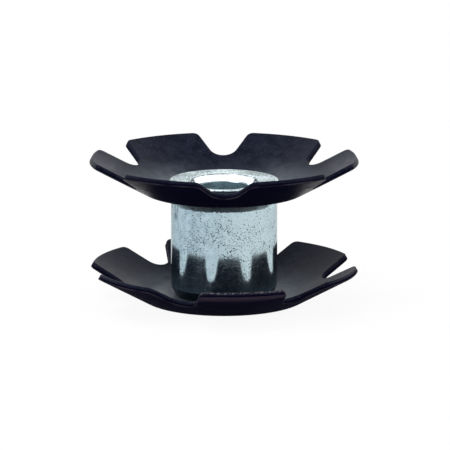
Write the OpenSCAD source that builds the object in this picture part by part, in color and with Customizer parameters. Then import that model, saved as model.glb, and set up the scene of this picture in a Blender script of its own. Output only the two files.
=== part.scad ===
// Star nut for a bicycle steerer tube: two dished star washers of spring steel,
// held on a threaded steel barrel whose ends are swaged over into lips.
// Origin: middle of the lower lip, on the surface that the nut stands on. +Z runs up the thread.

/* [Thread] */
// Nominal diameter of the thread
thread_d = 6; // [5:0.5:8]
// Pitch of the thread
thread_pitch = 1; // [0.5:0.05:1.25]
// Diameter of the flared mouth at each end of the bore
mouth_d = 6.7; // [6.2:0.1:8]
// Depth of the mouth, down to the step where the thread begins
mouth_depth = 0.7; // [0.3:0.05:1.2]

/* [Barrel] */
// Diameter of the barrel between the washers
barrel_d = 10.8; // [10.2:0.1:12.5]
// Length of the barrel between the washers
barrel_h = 10.5; // [6:0.1:16]
// Length of the taper at each end of the barrel
taper_h = 1.0; // [0.4:0.1:2]
// Depth of the taper, measured from the barrel's side
taper_inset = 0.45; // [0.1:0.05:0.6]
// Diameter of the neck that passes through each washer
neck_d = 9; // [8.6:0.1:9.2]
// Diameter of the swaged lips
lip_d = 11.1; // [10.6:0.1:12.5]
// Height of the upper lip above its washer
upper_lip_h = 0.7; // [0.4:0.05:1]
// Height of the lower lip below its washer
lower_lip_h = 0.3; // [0.3:0.05:0.8]
// Radius of the rounding along a lip's outer edge
lip_edge_r = 0.1; // [0.05:0.05:0.25]

/* [Star washers] */
// Diameter over the outermost edge of the petals
star_d = 27.3; // [26:0.1:30]
// Thickness of the spring steel sheet
sheet_t = 0.6; // [0.3:0.05:0.7]
// Number of petals round a washer
petals = 6; // [4:1:7]
// Diameter of the fold between the flat middle and the petals, on the upper face
fold_d = 15.5; // [14.5:0.1:16.5]
// Radius on the inside of the fold
bend_r = 1; // [0.3:0.1:2]
// Angle that the petals rise by
petal_rise = 29; // [20:0.5:35]
// Width of a notch between two petals, at the rim
notch_w = 5.6; // [4.4:0.1:6.6]
// Depth of a notch, measured along the sheet
notch_depth = 3.7; // [2.6:0.1:4]
// Radius of the round root of a notch
notch_root_r = 1.5; // [0.6:0.1:1.8]
// Radius of a petal's outer corners
corner_r = 0.7; // [0.1:0.05:0.9]
// Gap between the neck of the barrel and the hole in a washer
neck_gap = 0.05; // [0:0.01:0.15]
// Angle of the upper washer's first petal, counted from -Y towards +X
upper_turn = 30.5; // [0:0.5:60]
// Angle of the lower washer's first petal, counted from -Y towards +X
lower_turn = 8.5; // [0:0.5:60]

/* [Hidden] */
$fn = 96;

// how far a cutter reaches past what it cuts
overcut = 1;

// heights of the faces, from the bottom up
lower_under_z = lower_lip_h;
lower_face_z = lower_under_z + sheet_t;
upper_under_z = lower_face_z + barrel_h;
upper_face_z = upper_under_z + sheet_t;
top_z = upper_face_z + upper_lip_h;

// thread: the bore stands at the crests of the thread
bore_d = thread_d - thread_pitch;

// washer section: the upper face of the flat middle lies at height 0
hole_d = neck_d + 2 * neck_gap;
bend_start_r = fold_d / 2 - bend_r * tan(petal_rise / 2);
rim_r = star_d / 2 - sheet_t * sin(petal_rise);
rim_z = (rim_r - fold_d / 2) * tan(petal_rise);
petal_run = (rim_r - bend_start_r - bend_r * sin(petal_rise)) / cos(petal_rise);

// notch, drawn in the plane that touches the sheet along the middle of the notch
notch_root_y = notch_root_r - notch_depth;
side_a = atan2(notch_w / 2, -notch_root_y) - asin(notch_root_r / norm([notch_w / 2, notch_root_y]));
root_touch = [notch_root_r * cos(side_a), notch_root_y - notch_root_r * sin(side_a)];
mouth_half_w = notch_w / 2 + overcut * tan(side_a);

// petal corner: centre of the circle that rounds it, from the notch's side and the rim;
// the circle crosses both by a hair, so that no two faces only just touch
corner_bite = 0.005;
corner_inset = corner_r - corner_bite;
rim_curve_r = rim_r / cos(petal_rise);
corner_reach = rim_curve_r - corner_inset;
corner_x0 = notch_w / 2 - rim_curve_r * tan(side_a) + corner_inset / cos(side_a);
corner_y = cos(side_a) * (sqrt(pow(corner_reach, 2) - pow(corner_x0 * cos(side_a), 2))
    - corner_x0 * sin(side_a));
corner_c = [corner_x0 + corner_y * tan(side_a), corner_y - rim_curve_r];
corner_to_side = [-cos(side_a), sin(side_a)];
corner_to_rim = [corner_c[0], corner_y] / corner_reach;
wedge_reach = 3 * corner_r;

// section through half of a washer
module washer_section() {
    translate([hole_d / 2, -sheet_t])
        square([bend_start_r - hole_d / 2, sheet_t]);
    translate([bend_start_r, bend_r]) {
        bend_section();
        rotate(petal_rise)
            translate([0, -bend_r - sheet_t])
                square([petal_run, sheet_t]);
    }
}

// the fold: the part of a ring that the petal's rise sweeps
module bend_section() {
    reach = 2 * (bend_r + sheet_t);
    intersection() {
        difference() {
            circle(bend_r + sheet_t);
            circle(bend_r);
        }
        polygon([[0, 0], [0, -reach], reach * [tan(petal_rise), -1]]);
    }
}

// outline of a notch, its mouth at the rim and its round root further in
module notch_outline() {
    translate([0, notch_root_y])
        circle(notch_root_r);
    polygon([
        [-root_touch[0], root_touch[1]],
        [root_touch[0], root_touch[1]],
        [mouth_half_w, overcut],
        [-mouth_half_w, overcut]
    ]);
}

// what is cut from a petal's sharp corner to round it
module corner_outline() {
    difference() {
        polygon([
            corner_c,
            corner_c + wedge_reach * corner_to_rim,
            corner_c + wedge_reach * corner_to_side
        ]);
        translate(corner_c)
            circle(corner_r);
    }
}

// one notch with the two petal corners beside it, cut square to the sheet
module notch_cutter() {
    translate([0, rim_r, rim_z])
        rotate([petal_rise, 0, 0])
            translate([0, 0, -sheet_t - overcut])
                linear_extrude(sheet_t + 2 * overcut) {
                    notch_outline();
                    corner_outline();
                    mirror([1, 0])
                        corner_outline();
                }
}

// a star washer, with the middle of its first petal at -Y
module star_washer() {
    difference() {
        rotate_extrude()
            washer_section();
        for (i = [0 : petals - 1])
            rotate(180 + (i + 0.5) * 360 / petals)
                notch_cutter();
    }
}

module upper_star_washer() {
    color("#24262e")
        translate([0, 0, upper_face_z])
            rotate(upper_turn)
                star_washer();
}

module lower_star_washer() {
    color("#24262e")
        translate([0, 0, lower_face_z])
            rotate(lower_turn)
                star_washer();
}

// section of a lip of the given height, standing on height 0
module lip_section(height) {
    edge_x = lip_d / 2 - lip_edge_r;
    straight_h = height - lip_edge_r;
    square([edge_x, height]);
    square([lip_d / 2, straight_h]);
    translate([edge_x, straight_h])
        intersection() {
            circle(lip_edge_r);
            square(lip_edge_r);
        }
}

// section through half of the barrel, before its bore is cut
module barrel_section() {
    side_r = barrel_d / 2;
    end_r = side_r - taper_inset;
    polygon([
        [0, lower_face_z],
        [end_r, lower_face_z],
        [side_r, lower_face_z + taper_h],
        [side_r, upper_under_z - taper_h],
        [end_r, upper_under_z],
        [0, upper_under_z]
    ]);
    translate([0, lower_under_z])
        square([neck_d / 2, upper_face_z - lower_under_z]);
    translate([0, upper_face_z])
        lip_section(upper_lip_h);
    translate([0, lower_under_z])
        mirror([0, 1])
            lip_section(lower_lip_h);
}

// section through half of the bore, with its flared mouths; each narrows to the thread's diameter
module bore_section() {
    bore_r = bore_d / 2;
    step_r = thread_d / 2;
    wide_r = step_r + (mouth_d / 2 - step_r) * (mouth_depth + overcut) / mouth_depth;
    polygon([
        [0, -overcut],
        [wide_r, -overcut],
        [step_r, mouth_depth],
        [bore_r, mouth_depth],
        [bore_r, top_z - mouth_depth],
        [step_r, top_z - mouth_depth],
        [wide_r, top_z + overcut],
        [0, top_z + overcut]
    ]);
}

module threaded_barrel() {
    color("#b4c3c8")
        rotate_extrude()
            difference() {
                barrel_section();
                bore_section();
            }
}

upper_star_washer();
lower_star_washer();
threaded_barrel();
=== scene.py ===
"""Star nut: two black star washers and a zinc plated threaded barrel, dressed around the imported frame.

Lengths are in millimetres until a mesh, lamp or camera is made, and in metres from there on.
"""

import math

import bmesh
import bpy
from mathutils import Matrix, Vector, noise

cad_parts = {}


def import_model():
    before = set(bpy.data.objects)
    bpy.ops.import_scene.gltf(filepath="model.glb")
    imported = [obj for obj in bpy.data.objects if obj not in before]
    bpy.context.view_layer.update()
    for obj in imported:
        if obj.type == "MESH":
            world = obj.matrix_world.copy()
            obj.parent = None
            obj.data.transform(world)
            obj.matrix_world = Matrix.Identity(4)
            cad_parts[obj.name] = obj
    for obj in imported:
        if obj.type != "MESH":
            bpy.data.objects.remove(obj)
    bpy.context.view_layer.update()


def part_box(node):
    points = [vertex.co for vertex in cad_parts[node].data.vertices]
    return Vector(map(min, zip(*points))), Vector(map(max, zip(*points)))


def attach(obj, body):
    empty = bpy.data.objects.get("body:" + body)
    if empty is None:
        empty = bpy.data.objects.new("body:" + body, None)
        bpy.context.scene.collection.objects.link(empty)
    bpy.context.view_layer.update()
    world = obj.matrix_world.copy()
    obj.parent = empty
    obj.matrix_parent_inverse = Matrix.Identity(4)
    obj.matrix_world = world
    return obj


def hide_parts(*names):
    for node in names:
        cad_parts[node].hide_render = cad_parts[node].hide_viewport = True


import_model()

MM = 0.001

# thread; CREST and FLANK are shares of the pitch
THREAD_R = 3.0
PITCH = 1.0
BORE_R = THREAD_R - PITCH / 2
THREAD_START = 0.8
THREAD_RUN_IN = 0.4
CREST = 1 / 8
FLANK = math.tan(math.radians(30)) / 2
MOUTH_R = 3.35
MOUTH_DEPTH = 0.7
MOUTH_EDGE_R = 0.16

# barrel
BARREL_R = 5.4
TAPER_H = 1.0
TAPER_INSET = 0.45
NECK_R = 4.5
LIP_R = 5.55
LIP_EDGE_R = 0.1
LIP_DISH = 0.03
LIP_FRONT_DISH = 0.32
SHOULDER_R = 0.06
SHOULDER_WAVE = 0.13
TAPER_END_W = 0.1
TAPER_END_H = 0.05

# how far the upper taper and the bore are dulled, and how dark the lower taper is painted as painted shade,
# from 0 to 1
TAPER_DULL = 0.58
BORE_DULL = 0.5
FOOT_SHADE = 0.9

# star washers
SHEET_T = 0.6
PETALS = 6
FOLD_R = 7.75
BEND_R = 1.0
RISE = math.radians(29)
STAR_R = 13.65
NOTCH_W = 5.6
NOTCH_DEPTH = 3.7
NOTCH_ROOT_R = 1.5
CORNER_R = 0.7
HOLE_R = 4.55
UPPER_TURN = math.radians(30.5)
LOWER_TURN = math.radians(8.5)

# rounding along the sheet's edges: rolled over on the upper face, crisper on the lower one
UPPER_EDGE_R = 0.1
LOWER_EDGE_R = 0.06
SUPPORT_W = 0.04

# steps of the meshes along each stretch
EDGE_STEPS = 4
ROOT_STEPS = 12
SIDE_STEPS = 8
CORNER_STEPS = 6
RIM_STEPS = 10
FLAT_STEPS = 5
BEND_STEPS = 6
PETAL_STEPS = 9
WALL_STEPS = 2
BARREL_COLUMNS = 320
BARREL_ROWS = 24
DISH_STEPS = 4

# colours of the black steel
PETAL_DARK = (0.003, 0.004, 0.012, 1)
PETAL_PALE = (0.008, 0.010, 0.021, 1)
# painted sheen: the paler tone of the flat middle
SHEEN_TONE = (0.088, 0.104, 0.124, 1)
GRAIN = (0.034, 0.039, 0.050, 1)
# painted shade: the lower face is painted darker than the upper one
SHADED_UNDERSIDE = (0.0006, 0.0002, 0.006, 1)
RUBBED_EDGE = (0.009, 0.009, 0.019, 1)
RUBBED_UNDER = (0.030, 0.026, 0.036, 1)
# painted reflection: the floor seen in the lower face of the lower washer's front rim
RIM_FLOOR_REFLECTION = (0.024, 0.018, 0.029, 1)
# painted highlight, partly burr: the pale line along the lower washer's front upper edge
BURR_HIGHLIGHT = (0.11, 0.10, 0.115, 1)

# colours of the zinc plate
PLATE_DEEP = (0.335, 0.46, 0.53, 1)
PLATE_BLUE = (0.435, 0.57, 0.64, 1)
# painted light: the paler tone of the plate's right side
PLATE_LIT_RIGHT = (0.50, 0.63, 0.67, 1)
LIP_DARK = (0.60, 0.71, 0.72, 1)
LIP_PALE = (0.79, 0.90, 0.91, 1)
BURNISHED = (0.85, 0.90, 0.92, 1)
SPECK = (0.08, 0.11, 0.13, 1)
# painted shade: the dark tone at the barrel's foot and along the mouth's edge
SHADE_TONE = (0.025, 0.034, 0.052, 1)

# derived sizes of the washer's section; the upper face of the flat middle lies at height 0
BEND_START_R = FOLD_R - BEND_R * math.tan(RISE / 2)
RIM_R = STAR_R - SHEET_T * math.sin(RISE)
RIM_Z = (RIM_R - FOLD_R) * math.tan(RISE)
SECTOR = math.pi / PETALS

# heights of the pieces, from the frame
LOWER_UNDER_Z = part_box("lower_star_washer")[0].z / MM
UPPER_UNDER_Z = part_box("upper_star_washer")[0].z / MM
LOWER_FACE_Z = LOWER_UNDER_Z + SHEET_T
UPPER_FACE_Z = UPPER_UNDER_Z + SHEET_T
TOP_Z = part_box("threaded_barrel")[1].z / MM


def steps(first, last, count):
    """Evenly spaced values from first to last, both included."""
    return [first + (last - first) * i / count for i in range(count + 1)]


def on_circle(radius, angle):
    """A point at this distance from the origin of a plane, its angle counted from the plane's x axis."""
    return Vector((radius * math.cos(angle), radius * math.sin(angle)))


def supported(section):
    """The section with a point beside each end of its long stretches, to keep flat faces flat when shaded."""
    points = [section[0]]
    for first, last in zip(section, section[1:]):
        reach = math.dist(first[:2], last[:2])
        if reach > 4 * SUPPORT_W:
            for share in (SUPPORT_W / reach, 1 - SUPPORT_W / reach):
                points.append(tuple(a + (b - a) * share for a, b in zip(first, last)))
        points.append(last)
    return points


def loft(name, columns, marks):
    """A smooth mesh over a ring of columns, each a closed loop of points; marks hold a value for each row."""
    mesh = bpy.data.meshes.new(name)
    form = bmesh.new()
    layers = [form.verts.layers.float.new(mark) for mark in marks]
    grid = [[form.verts.new(point * MM) for point in column] for column in columns]
    for layer, values in zip(layers, marks.values()):
        for row in grid:
            for vertex, value in zip(row, values):
                vertex[layer] = value
    for left, right in zip(grid, grid[1:] + grid[:1]):
        for k in range(len(left)):
            after = (k + 1) % len(left)
            form.faces.new((left[k], left[after], right[after], right[k]))
    bmesh.ops.remove_doubles(form, verts=form.verts, dist=0.0005 * MM)
    bmesh.ops.recalc_face_normals(form, faces=form.faces)
    for face in form.faces:
        face.smooth = True
    form.to_mesh(mesh)
    form.free()
    piece = bpy.data.objects.new(name, mesh)
    bpy.context.scene.collection.objects.link(piece)
    return piece


# ---------------------------------------------------------------- star washers


def notch_side():
    """Angle between a notch's axis and its straight sides."""
    half, root_y = NOTCH_W / 2, NOTCH_ROOT_R - NOTCH_DEPTH
    return math.atan2(half, -root_y) - math.asin(NOTCH_ROOT_R / math.hypot(half, root_y))


def corner_centre(side):
    """Centre of a petal corner's arc in the notch's plane, and the direction from it to the rim."""
    rim_curve_r = RIM_R / math.cos(RISE)
    reach = rim_curve_r - CORNER_R
    start = NOTCH_W / 2 - rim_curve_r * math.tan(side) + CORNER_R / math.cos(side)
    run = math.sqrt(reach**2 - (start * math.cos(side)) ** 2) - start * math.sin(side)
    height = math.cos(side) * run
    x = start + height * math.tan(side)
    return Vector((x, height - rim_curve_r)), math.atan2(height, x)


def on_sheet(flat, depth):
    """Moves a point of the notch's plane square to that plane, onto the petal's face at this depth."""
    normal = Vector((0, -math.sin(RISE), math.cos(RISE)))
    base = Vector((flat.x, RIM_R + flat.y * math.cos(RISE), RIM_Z + flat.y * math.sin(RISE)))
    drop = depth / math.cos(RISE)
    along = 0.0
    for _ in range(6):
        point = base + normal * along
        rho = math.hypot(point.x, point.y)
        miss = point.z + drop - (rho - FOLD_R) * math.tan(RISE)
        along -= miss / (normal.z - normal.y * point.y / rho * math.tan(RISE))
    return base + normal * along


def rim_point(azimuth, inset, depth):
    """A point of a petal's rim, its azimuth counted from the notch's middle."""
    rho = RIM_R + depth * math.sin(RISE) - inset * math.cos(RISE)
    z = RIM_Z - depth * math.cos(RISE) - inset * math.sin(RISE)
    return Vector((rho * math.sin(azimuth), rho * math.cos(azimuth), z))


def half_outline(inset, depth):
    """Edge of the sheet from a notch's middle to the next petal's middle, moved in by inset."""
    side = notch_side()
    centre, to_rim = corner_centre(side)
    to_side = math.pi - side
    root_centre = Vector((0, NOTCH_ROOT_R - NOTCH_DEPTH))
    root = [
        root_centre + on_circle(NOTCH_ROOT_R + inset, angle)
        for angle in steps(-math.pi / 2, -side, ROOT_STEPS)
    ]
    corner = [
        centre + on_circle(CORNER_R - inset, angle)
        for angle in steps(to_side, to_rim, CORNER_STEPS)
    ]
    straight = [root[-1].lerp(corner[0], share) for share in steps(0, 1, SIDE_STEPS)[1:-1]]
    edge = [on_sheet(flat, depth) for flat in root + straight + corner]
    last = math.atan2(edge[-1].x, edge[-1].y)
    return edge + [rim_point(azimuth, inset, depth) for azimuth in steps(last, SECTOR, RIM_STEPS)[1:]]


def quarter_round(radius):
    """(inset, depth) pairs round a quarter circle, from a face to the wall beside it."""
    return [
        (radius * (1 - math.sin(angle)), radius * (1 - math.cos(angle)))
        for angle in steps(0, math.pi / 2, EDGE_STEPS)
    ]


def face_column(edge_point, base_azimuth, depth):
    """Points of one face of the sheet, from beside the hole out to just before the edge point."""
    reach = BEND_R + depth
    start_r = BEND_START_R + reach * math.sin(RISE)
    start_z = BEND_R - reach * math.cos(RISE)
    edge_azimuth = math.atan2(edge_point.x, edge_point.y)
    run = math.hypot(edge_point.x, edge_point.y) - start_r
    column = []
    for radius in steps(HOLE_R + UPPER_EDGE_R, BEND_START_R, FLAT_STEPS)[1:]:
        column.append((radius, -depth, base_azimuth))
    for bend in steps(0, RISE, BEND_STEPS)[1:]:
        radius = BEND_START_R + reach * math.sin(bend)
        column.append((radius, BEND_R - reach * math.cos(bend), base_azimuth))
    for share in steps(0, 1, PETAL_STEPS)[1:-1]:
        azimuth = base_azimuth + (edge_azimuth - base_azimuth) * share
        column.append((start_r + run * share, start_z + run * share * math.tan(RISE), azimuth))
    return [Vector((rho * math.sin(a), rho * math.cos(a), z)) for rho, z, a in column]


def sheet_rings():
    """(inset, depth, edge mark, under mark) of the rings from the upper face round to the lower face."""
    upper = [(inset, depth, 1.0, 0.0) for inset, depth in quarter_round(UPPER_EDGE_R)]
    lower = [(inset, SHEET_T - depth, 1.0, 1.0) for inset, depth in reversed(quarter_round(LOWER_EDGE_R))]
    wall_depths = steps(UPPER_EDGE_R, SHEET_T - LOWER_EDGE_R, WALL_STEPS)[1:-1]
    wall = [(0.0, depth, 0.5, depth / SHEET_T) for depth in wall_depths]
    first = [(UPPER_EDGE_R + SUPPORT_W, 0.0, 0.0, 0.0)]
    last = [(LOWER_EDGE_R + SUPPORT_W, SHEET_T, 0.0, 1.0)]
    return first + upper + wall + lower + last


def half_columns():
    """Loops of points round the sheet's section, one for each point of half_outline(), and their marks."""
    rings = sheet_rings()
    outlines = [half_outline(inset, depth) for inset, depth, *_ in rings]
    columns = []
    for j, first in enumerate(outlines[0]):
        base = math.atan2(first.x, first.y)
        radial = Vector((math.sin(base), math.cos(base), 0))
        hole = [radial * (HOLE_R + inset) - Vector((0, 0, depth)) for inset, depth, *_ in rings[::-1]]
        upper = face_column(first, base, 0.0)
        lower = face_column(outlines[-1][j], base, SHEET_T)[::-1]
        columns.append(hole + upper + [outline[j] for outline in outlines] + lower)
    rounds = [ring[2:] for ring in rings]
    upper_marks = [(0.0, 0.0)] * len(upper)
    lower_marks = [(0.0, 1.0)] * len(lower)
    edge, under = zip(*(rounds[::-1] + upper_marks + rounds + lower_marks))
    return columns, {"edge": edge, "under": under}


def star_washer(name, turn, face_z):
    """A star washer, the middle of its first petal at -Y before it is turned."""
    half, marks = half_columns()
    mirrored = [[Vector((-p.x, p.y, p.z)) for p in column] for column in half[1:-1]]
    sector = half[::-1] + mirrored
    lift = Vector((0, 0, face_z))
    columns = []
    for i in range(PETALS):
        place = Matrix.Rotation(math.pi + turn + (2 * i + 1) * SECTOR, 3, "Z")
        columns += [[place @ point + lift for point in column] for column in sector]
    return loft(name, columns, marks)


# ---------------------------------------------------------------- threaded barrel


def thread_depth(phase):
    """How far the thread's groove is cut at this share of a pitch, from its crest."""
    groove_start = 1 - CREST - 2 * FLANK
    if phase < groove_start:
        return 0.0
    if phase < groove_start + FLANK:
        return PITCH / 2 * (phase - groove_start) / FLANK
    if phase < 1 - FLANK:
        return PITCH / 2
    return PITCH / 2 * (1 - phase) / FLANK


def thread_phases():
    """Shares of a pitch at which the thread's section turns, with one between each pair."""
    turns = [0, 1 - CREST - 2 * FLANK, 1 - CREST - FLANK, 1 - FLANK, 1]
    phases = []
    for first, last in zip(turns, turns[1:]):
        phases += [first, (first + last) / 2]
    return phases


def lip_profile(lip_h, azimuth):
    """Points of a lip from the neck to its mouth's step: radius, height over the washer's far face, marks."""
    dish = LIP_DISH + (LIP_FRONT_DISH - LIP_DISH) * ((1 - math.sin(azimuth)) / 2) ** 3
    top_r = LIP_R - LIP_EDGE_R
    points = [(NECK_R, 0.0, 0.0, 0.0), (LIP_R, 0.0, 0.0, 0.0)]
    for angle in steps(0, math.pi / 2, EDGE_STEPS):
        height = lip_h - LIP_EDGE_R * (1 - math.sin(angle))
        points.append((top_r + LIP_EDGE_R * math.cos(angle), height, math.sin(angle), 0.0))
    for share in steps(0, 1, DISH_STEPS)[1:]:
        sag = dish * share * (2 + 3 * share) / 5
        points.append((top_r + (MOUTH_R + MOUTH_EDGE_R - top_r) * share, lip_h - sag, 1.0, 0.0))
    lean = math.atan2(MOUTH_R - THREAD_R, MOUTH_DEPTH)
    edge_h = lip_h - dish - MOUTH_EDGE_R
    for angle in steps(math.pi / 2, math.pi - lean, EDGE_STEPS)[1:]:
        radius = MOUTH_R + MOUTH_EDGE_R * (1 + math.cos(angle))
        # painted shade: a dark line along the middle of the mouth's rounded edge
        painted_shade = math.sin(2 * (angle - math.pi / 2)) ** 2
        points.append((radius, edge_h + MOUTH_EDGE_R * math.sin(angle), 0.0, painted_shade))
    floor_h = lip_h - MOUTH_DEPTH
    foot_r = points[-1][0] - (points[-1][1] - floor_h) * math.tan(lean)
    return points + [(foot_r, floor_h, 0.0, 0.0), (BORE_R, floor_h, 0.0, 0.0)]


def bore_column(azimuth, low_z, high_z):
    """Points down the threaded bore, from the upper mouth's step to the lower one's."""
    offset = azimuth / (2 * math.pi) * PITCH
    turns = math.ceil((high_z - low_z) / PITCH) + 1
    column = []
    for turn in range(turns, -2, -1):
        for phase in reversed(thread_phases()):
            z = min(max(low_z + offset + (turn + phase) * PITCH, low_z), high_z)
            inside = min(z - low_z, high_z - z) - THREAD_START
            cut = min(max(inside / THREAD_RUN_IN, 0.0), 1.0)
            column.append((BORE_R + cut * thread_depth(phase), z))
    return column


def shoulder(azimuth, seed):
    """Points from the neck over the taper to the barrel's side: radius, height from the washer, and a
    mark that is 1 on the taper and fades out round its uneven edge."""
    place = Vector((math.cos(azimuth), math.sin(azimuth), seed))
    wave = SHOULDER_WAVE * (noise.noise(place * 9) / 2 + noise.noise(place * 25))
    end_r = BARREL_R - TAPER_INSET
    lean = math.atan2(TAPER_INSET, TAPER_H)
    centre_h = TAPER_H + SHOULDER_R * math.tan(lean / 2)
    points = [(NECK_R, 0.0, 0.0), (end_r - TAPER_END_W, 0.0, 1.0), (end_r, TAPER_END_H, 1.0)]
    for turn in steps(lean, 0, EDGE_STEPS):
        height = centre_h - SHOULDER_R * math.sin(turn) + wave
        points.append((BARREL_R - SHOULDER_R * (1 - math.cos(turn)), height, turn / lean))
    return points


def threaded_barrel(name):
    """The barrel with its swaged lips, flared mouths and right-handed thread."""
    columns = []
    for azimuth in steps(0, 2 * math.pi, BARREL_COLUMNS)[:-1]:
        upper_taper, lower_taper = shoulder(azimuth, 1), shoulder(azimuth, 2)
        top = [(rho, UPPER_UNDER_Z - h, 0.0, 0.0, TAPER_DULL * mark) for rho, h, mark in upper_taper]
        bottom = [(rho, LOWER_FACE_Z + h, 0.0, FOOT_SHADE * mark, 0.0) for rho, h, mark in lower_taper]
        side = [(BARREL_R, z, 0.0, 0.0, 0.0) for z in steps(bottom[-1][1], top[-1][1], BARREL_ROWS)[1:-1]]
        lower_lip = lip_profile(LOWER_UNDER_Z, azimuth)[::-1]
        upper_lip = lip_profile(TOP_Z - UPPER_FACE_Z, azimuth)
        section = [(rho, LOWER_UNDER_Z - h, *marks, 0.0) for rho, h, *marks in lower_lip]
        section += bottom + side + top[::-1]
        section += [(rho, UPPER_FACE_Z + h, *marks, 0.0) for rho, h, *marks in upper_lip]
        section = supported(section)
        bore = bore_column(azimuth, MOUTH_DEPTH, TOP_Z - MOUTH_DEPTH)
        section += [(rho, z, 0.0, 0.0, BORE_DULL) for rho, z in bore]
        columns.append([Vector((r * math.cos(azimuth), r * math.sin(azimuth), z)) for r, z, *_ in section])
    *_, peened, painted_shade, dull = zip(*section)
    piece = loft(name, columns, {"peened": peened, "painted_shade": painted_shade, "dull": dull})
    piece.data.set_sharp_from_angle(angle=math.radians(40))
    return piece


# ---------------------------------------------------------------- materials


class Nodes:
    """A material's node tree, with short calls that add linked nodes."""

    def __init__(self, name):
        self.material = bpy.data.materials.new(name)
        self.material.use_nodes = True
        self.tree = self.material.node_tree
        self.shader = self.tree.nodes["Principled BSDF"]
        place = self.tree.nodes.new("ShaderNodeTexCoord").outputs["Object"]
        self.place = self.vector("SCALE", place, scale=1 / MM)

    def link(self, value, socket):
        """Links an output to a socket, or sets the socket to a plain value."""
        if isinstance(value, bpy.types.NodeSocket):
            self.tree.links.new(value, socket)
        else:
            socket.default_value = value

    def vector(self, operation, first, second=None, scale=None):
        node = self.tree.nodes.new("ShaderNodeVectorMath")
        node.operation = operation
        self.link(first, node.inputs[0])
        if second is not None:
            self.link(second, node.inputs[1])
        if scale is not None:
            node.inputs["Scale"].default_value = scale
        return node.outputs[0]

    def math(self, operation, first, second=0.0):
        node = self.tree.nodes.new("ShaderNodeMath")
        node.operation = operation
        self.link(first, node.inputs[0])
        self.link(second, node.inputs[1])
        return node.outputs[0]

    def times(self, first, second):
        return self.math("MULTIPLY", first, second)

    def noise(self, scale, detail=2.0, stretch=None, lean=0.0):
        """Noise of about 1/scale mm; its place is leaned about the Y axis, then scaled along each axis."""
        place = self.place
        if lean:
            turned = self.tree.nodes.new("ShaderNodeVectorRotate")
            turned.rotation_type = "Y_AXIS"
            turned.inputs["Angle"].default_value = lean
            self.link(place, turned.inputs["Vector"])
            place = turned.outputs[0]
        if stretch:
            place = self.vector("MULTIPLY", place, stretch)
        node = self.tree.nodes.new("ShaderNodeTexNoise")
        node.inputs["Scale"].default_value = scale
        node.inputs["Detail"].default_value = detail
        self.link(place, node.inputs["Vector"])
        return node.outputs["Fac"]

    def along(self, axis):
        """The place along the X, Y or Z axis, in millimetres."""
        node = self.tree.nodes.new("ShaderNodeSeparateXYZ")
        self.link(self.place, node.inputs[0])
        return node.outputs[axis]

    def radius(self):
        """Distance from the part's axis, in millimetres."""
        node = self.tree.nodes.new("ShaderNodeVectorMath")
        node.operation = "LENGTH"
        self.link(self.vector("MULTIPLY", self.place, (1, 1, 0)), node.inputs[0])
        return node.outputs["Value"]

    def range(self, value, low, high, to_low=0.0, to_high=1.0):
        """Maps low..high onto to_low..to_high, smoothly and clamped."""
        node = self.tree.nodes.new("ShaderNodeMapRange")
        node.interpolation_type = "SMOOTHSTEP"
        self.link(value, node.inputs["Value"])
        for socket, number in zip(("From Min", "From Max", "To Min", "To Max"), (low, high, to_low, to_high)):
            node.inputs[socket].default_value = number
        return node.outputs["Result"]

    def mix(self, share, first, second):
        """A colour between two colours."""
        node = self.tree.nodes.new("ShaderNodeMix")
        node.data_type = "RGBA"
        self.link(share, node.inputs["Factor"])
        colour_inputs = [s for s in node.inputs if s.type == "RGBA"]
        self.link(first, colour_inputs[0])
        self.link(second, colour_inputs[1])
        return [s for s in node.outputs if s.type == "RGBA"][0]

    def bump(self, height, distance, below=None):
        """A normal from a height, of which 1 stands for distance millimetres, over another bump."""
        node = self.tree.nodes.new("ShaderNodeBump")
        node.inputs["Distance"].default_value = distance * MM
        self.link(height, node.inputs["Height"])
        if below is not None:
            self.link(below, node.inputs["Normal"])
        return node.outputs["Normal"]

    def attribute(self, name):
        node = self.tree.nodes.new("ShaderNodeAttribute")
        node.attribute_name = name
        return node.outputs["Fac"]


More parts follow.
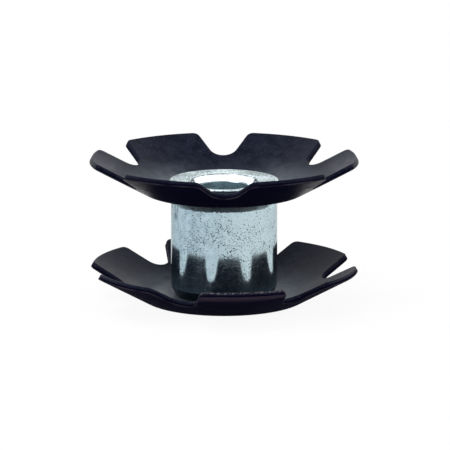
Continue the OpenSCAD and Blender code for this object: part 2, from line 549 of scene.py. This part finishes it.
def black_steel():
    """Black phosphated spring steel: a painted sheen on the flat middle, rubbed edges, a painted floor
    reflection and a painted highlight along the burred front rim of the lower washer, and a matte underside
    darkened with painted shade that turns glossy at the upper one's sides."""
    m = Nodes("black_spring_steel")
    radius, height = m.radius(), m.along("Z")
    sideways = m.math("ABSOLUTE", m.along("X"))
    mottle = m.noise(0.9, 5)
    grain = m.noise(6, 5)
    under = m.range(m.attribute("under"), 0.2, 0.8)
    sheared = m.attribute("edge")

    # colour of the faces
    petal = m.mix(m.range(mottle, 0.35, 0.65), PETAL_DARK, PETAL_PALE)
    # painted sheen: the flat middle is painted paler, more so towards the sides
    sheen_patches = m.times(m.range(mottle, 0.3, 0.6, 0.65, 1.0), m.range(sideways, 2, 6.5, 0.2, 1.0))
    painted_sheen = m.times(m.range(radius, 6.2, 10.6, 1, 0), sheen_patches)
    top = m.mix(m.range(grain, 0.58, 0.75), m.mix(painted_sheen, petal, SHEEN_TONE), GRAIN)
    # painted shade: the lower face takes a darker colour than the upper face
    body = m.mix(under, top, SHADED_UNDERSIDE)

    # wear along the edges, and painted light on the lower washer's front rim
    rubbed = m.times(m.range(sheared, 0.8, 1.0), m.range(m.noise(0.5, 5), 0.35, 0.65, 0.2, 0.9))
    worn = m.mix(rubbed, body, m.mix(under, RUBBED_EDGE, RUBBED_UNDER))
    # painted reflection: a paler band on the lower face along the lower washer's front rim, at the front only
    front = m.times(m.range(m.along("Y"), -12.0, -11.5, 1, 0), m.range(height, 5, 7, 1, 0))
    under_rim = m.times(m.range(radius, 12.1, 13.4), m.range(m.attribute("under"), 0.9, 1.0))
    rim_reflected = m.mix(m.times(front, under_rim), worn, RIM_FLOOR_REFLECTION)
    # painted highlight, partly burr: a pale speckled line along the upper edge of the lower washer's front
    # rim
    highlit_burr = m.times(m.math("SUBTRACT", m.range(sheared, 0.6, 1.0), under), m.range(grain, 0.46, 0.6))
    m.link(m.mix(m.times(front, highlit_burr), rim_reflected, BURR_HIGHLIGHT), m.shader.inputs["Base Color"])

    # gloss
    glossy = m.times(m.range(height, 6, 8), m.range(sideways, 5.5, 8.5))
    matte = m.times(under, m.range(glossy, 0, 1, 0.6, -0.06))
    rough = m.math("ADD", m.range(radius, 9, 13, 0.28, 0.36), matte)
    m.link(m.math("ADD", rough, m.range(mottle, 0.3, 0.7, 0.0, 0.08)), m.shader.inputs["Roughness"])
    m.shader.inputs["Specular Tint"].default_value = (0.85, 0.94, 1.0, 1)
    m.shader.inputs["IOR"].default_value = 1.08
    m.shader.inputs["Sheen Weight"].default_value = 0.006
    m.shader.inputs["Sheen Roughness"].default_value = 0.4
    m.shader.inputs["Sheen Tint"].default_value = (0.35, 0.45, 1.0, 1)
    fine = m.bump(m.noise(30, 2), 0.004)
    m.link(m.bump(mottle, 0.02, fine), m.shader.inputs["Normal"])
    return m.material


def zinc():
    """Bluish zinc plate, painted paler towards the right as painted light: near mirror-bright, with fine
    specks, short scratches and a scuff at its upper left. The lips are flecked and more matte and their cones
    are burnished; the foot and the mouth's rounded edge are darkened with painted shade."""
    m = Nodes("zinc_plated_steel")
    cloud = m.noise(1.4, 7)
    peened, dull = m.attribute("peened"), m.attribute("dull")
    radius = m.radius()
    cone = m.times(m.range(radius, 2.98, 3.06), m.range(radius, 3.42, 3.5, 1, 0))

    # flaws, and painted shade at the foot and along the mouth's edge
    crowd = m.range(m.noise(0.5, 3), 0.35, 0.65, -0.03, 0.045)
    crowd_on_lips = m.math("ADD", crowd, m.range(peened, 0, 1, 0, 0.11))
    speck = m.range(m.math("ADD", m.noise(7.5, 2), crowd_on_lips), 0.60, 0.65)
    streaks = m.noise(1.0, 2, (9, 9, 1.1), math.radians(-42))
    scratch = m.range(m.math("ADD", streaks, crowd), 0.70, 0.75)
    upper_left = m.times(m.range(m.along("X"), -4.9, -4.4, 1, 0), m.range(m.along("Z"), 8.6, 9.6))
    scuff = m.times(upper_left, m.range(m.noise(1.0, 3, (5, 5, 0.9)), 0.47, 0.57))
    flaws = m.math("MAXIMUM", m.math("MAXIMUM", speck, scratch), m.times(scuff, 0.8))
    # painted shade: darker at the foot of the barrel and along the mouth's edge, broken by noise
    painted_shade = m.times(m.attribute("painted_shade"), m.range(m.noise(3, 3), 0.35, 0.5, 0.75, 1.0))
    mark = m.math("MAXIMUM", m.times(flaws, m.math("SUBTRACT", 1.0, cone)), painted_shade)

    # colour
    blue = m.mix(m.range(cloud, 0.35, 0.65), PLATE_DEEP, PLATE_BLUE)
    # painted light: the plate is painted paler towards the right, where more light falls
    plate = m.mix(m.range(m.along("X"), -4, 4), blue, PLATE_LIT_RIGHT)
    flecked = m.mix(m.range(m.noise(5, 4), 0.4, 0.6), LIP_DARK, LIP_PALE)
    bright = m.mix(cone, m.mix(peened, plate, flecked), BURNISHED)
    m.link(m.mix(mark, bright, m.mix(painted_shade, SPECK, SHADE_TONE)), m.shader.inputs["Base Color"])
    m.shader.inputs["Metallic"].default_value = 1.0
    m.shader.inputs["Specular Tint"].default_value = (0.74, 0.76, 0.77, 1)

    # gloss
    matte = m.math("ADD", m.range(peened, 0, 1, 0, 0.2), m.range(dull, 0, 1, 0, 0.35))
    m.link(m.math("ADD", m.range(cloud, 0.3, 0.7, 0.1, 0.14), matte), m.shader.inputs["Roughness"])
    hammered = m.bump(m.times(m.noise(3, 4), peened), 0.04)
    ripple = m.bump(m.noise(6, 3), 0.0018, hammered)
    m.link(m.bump(m.math("SUBTRACT", 1.0, mark), 0.003, ripple), m.shader.inputs["Normal"])
    return m.material


def sees_background(tree):
    """1 for the rays that show the white background: from the camera, off a gloss or through glass."""
    path = tree.nodes.new("ShaderNodeLightPath")
    share = path.outputs["Is Camera Ray"]
    for name in ("Is Glossy Ray", "Is Transmission Ray"):
        either = tree.nodes.new("ShaderNodeMath")
        either.operation = "MAXIMUM"
        tree.links.new(share, either.inputs[0])
        tree.links.new(path.outputs[name], either.inputs[1])
        share = either.outputs[0]
    return share


def floor_material():
    """Pale floor: lifted towards white where it shows as background, with part of its shadow kept."""
    material = bpy.data.materials.new("pale_floor")
    material.use_nodes = True
    tree = material.node_tree
    tree.nodes.clear()
    diffuse = tree.nodes.new("ShaderNodeBsdfDiffuse")
    diffuse.inputs["Color"].default_value = (0.8, 0.8, 0.8, 1)
    white = tree.nodes.new("ShaderNodeEmission")
    lift = tree.nodes.new("ShaderNodeMath")
    lift.operation = "MULTIPLY"
    lift.inputs[1].default_value = 0.93
    mix = tree.nodes.new("ShaderNodeMixShader")
    output = tree.nodes.new("ShaderNodeOutputMaterial")
    tree.links.new(sees_background(tree), lift.inputs[0])
    tree.links.new(lift.outputs[0], mix.inputs[0])
    tree.links.new(diffuse.outputs[0], mix.inputs[1])
    tree.links.new(white.outputs[0], mix.inputs[2])
    tree.links.new(mix.outputs[0], output.inputs[0])
    return material


# ---------------------------------------------------------------- stage, light and camera


def floor():
    """The ground that the nut stands on, its half size in metres."""
    mesh = bpy.data.meshes.new("floor")
    half = 2.0
    corners = [(-half, -half, 0), (half, -half, 0), (half, half, 0), (-half, half, 0)]
    mesh.from_pydata(corners, [], [(0, 1, 2, 3)])
    piece = bpy.data.objects.new("floor", mesh)
    bpy.context.scene.collection.objects.link(piece)
    mesh.materials.append(floor_material())


def world(fill):
    """White where it shows as background; fill is its strength as a light."""
    scene_world = bpy.data.worlds.new("studio")
    bpy.context.scene.world = scene_world
    scene_world.use_nodes = True
    tree = scene_world.node_tree
    tree.nodes.clear()
    light = tree.nodes.new("ShaderNodeBackground")
    light.inputs["Color"].default_value = (1, 1, 1, 1)
    light.inputs["Strength"].default_value = fill
    white = tree.nodes.new("ShaderNodeBackground")
    white.inputs["Color"].default_value = (1, 1, 1, 1)
    mix = tree.nodes.new("ShaderNodeMixShader")
    output = tree.nodes.new("ShaderNodeOutputWorld")
    tree.links.new(sees_background(tree), mix.inputs[0])
    tree.links.new(light.outputs[0], mix.inputs[1])
    tree.links.new(white.outputs[0], mix.inputs[2])
    tree.links.new(mix.outputs[0], output.inputs[0])


def aim(item, place, target):
    """Puts a lamp or the camera at place, looking at target; both in millimetres."""
    item.location = Vector(place) * MM
    item.rotation_mode = "QUATERNION"
    item.rotation_quaternion = (Vector(target) - Vector(place)).to_track_quat("-Z", "Y")


def lamp(name, place, target, size, power):
    """A softbox of this width and height in millimetres and power in watts."""
    light = bpy.data.lights.new(name, "AREA")
    light.shape = "RECTANGLE"
    light.size, light.size_y = size[0] * MM, size[1] * MM
    light.energy = power
    item = bpy.data.objects.new(name, light)
    bpy.context.scene.collection.objects.link(item)
    aim(item, place, target)


def camera():
    """The photographed view: from the front, a little above, through a long lens."""
    distance, elevation, lens = 455.0, math.radians(12.28), 358.0
    centre = Vector((0, 0, 5.3))
    target = Vector((0.09, 0, 8.015))
    data = bpy.data.cameras.new("camera")
    data.lens = lens
    item = bpy.data.objects.new("camera", data)
    bpy.context.scene.collection.objects.link(item)
    place = centre + distance * Vector((0, -math.cos(elevation), math.sin(elevation)))
    aim(item, place, target)
    bpy.context.scene.camera = item


BODY = "root"
STEEL, ZINC = "black_spring_steel", "zinc_plated_steel"

upper_washer = star_washer("upper_washer_sheet", UPPER_TURN, UPPER_FACE_Z)
lower_washer = star_washer("lower_washer_sheet", LOWER_TURN, LOWER_FACE_Z)
barrel = threaded_barrel("barrel_with_thread")
steel_finish, zinc_finish = black_steel(), zinc()
for piece, node, slot, finish in (
    (upper_washer, "upper_star_washer", STEEL, steel_finish),
    (lower_washer, "lower_star_washer", STEEL, steel_finish),
    (barrel, "threaded_barrel", ZINC, zinc_finish),
):
    piece.data.materials.append(finish)
    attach(piece, BODY)
    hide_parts(node)

floor()
world(0.3)
lamp("front_softbox", (0, -440, 390), (0, 0, 0), (760, 260), 1.05)
lamp("front_left_softbox", (-375, -260, 330), (0, 0, 0), (440, 260), 0.56)
lamp("front_right_softbox", (375, -260, 330), (0, 0, 0), (440, 260), 0.59)
lamp("left_softbox", (-510, 60, 220), (0, 0, 0), (640, 250), 0.66)
lamp("right_softbox", (510, 60, 220), (0, 0, 0), (640, 250), 0.74)
lamp("left_top_softbox", (-160, -70, 465), (0, 0, 0), (200, 200), 1.1)
lamp("rear_softbox", (0, 560, 150), (0, 0, 0), (1500, 130), 0.66)
lamp("rear_top_softbox", (-80, 420, 380), (0, 0, 0), (900, 200), 1.2)
camera()

bpy.context.scene.view_settings.view_transform = "Standard"
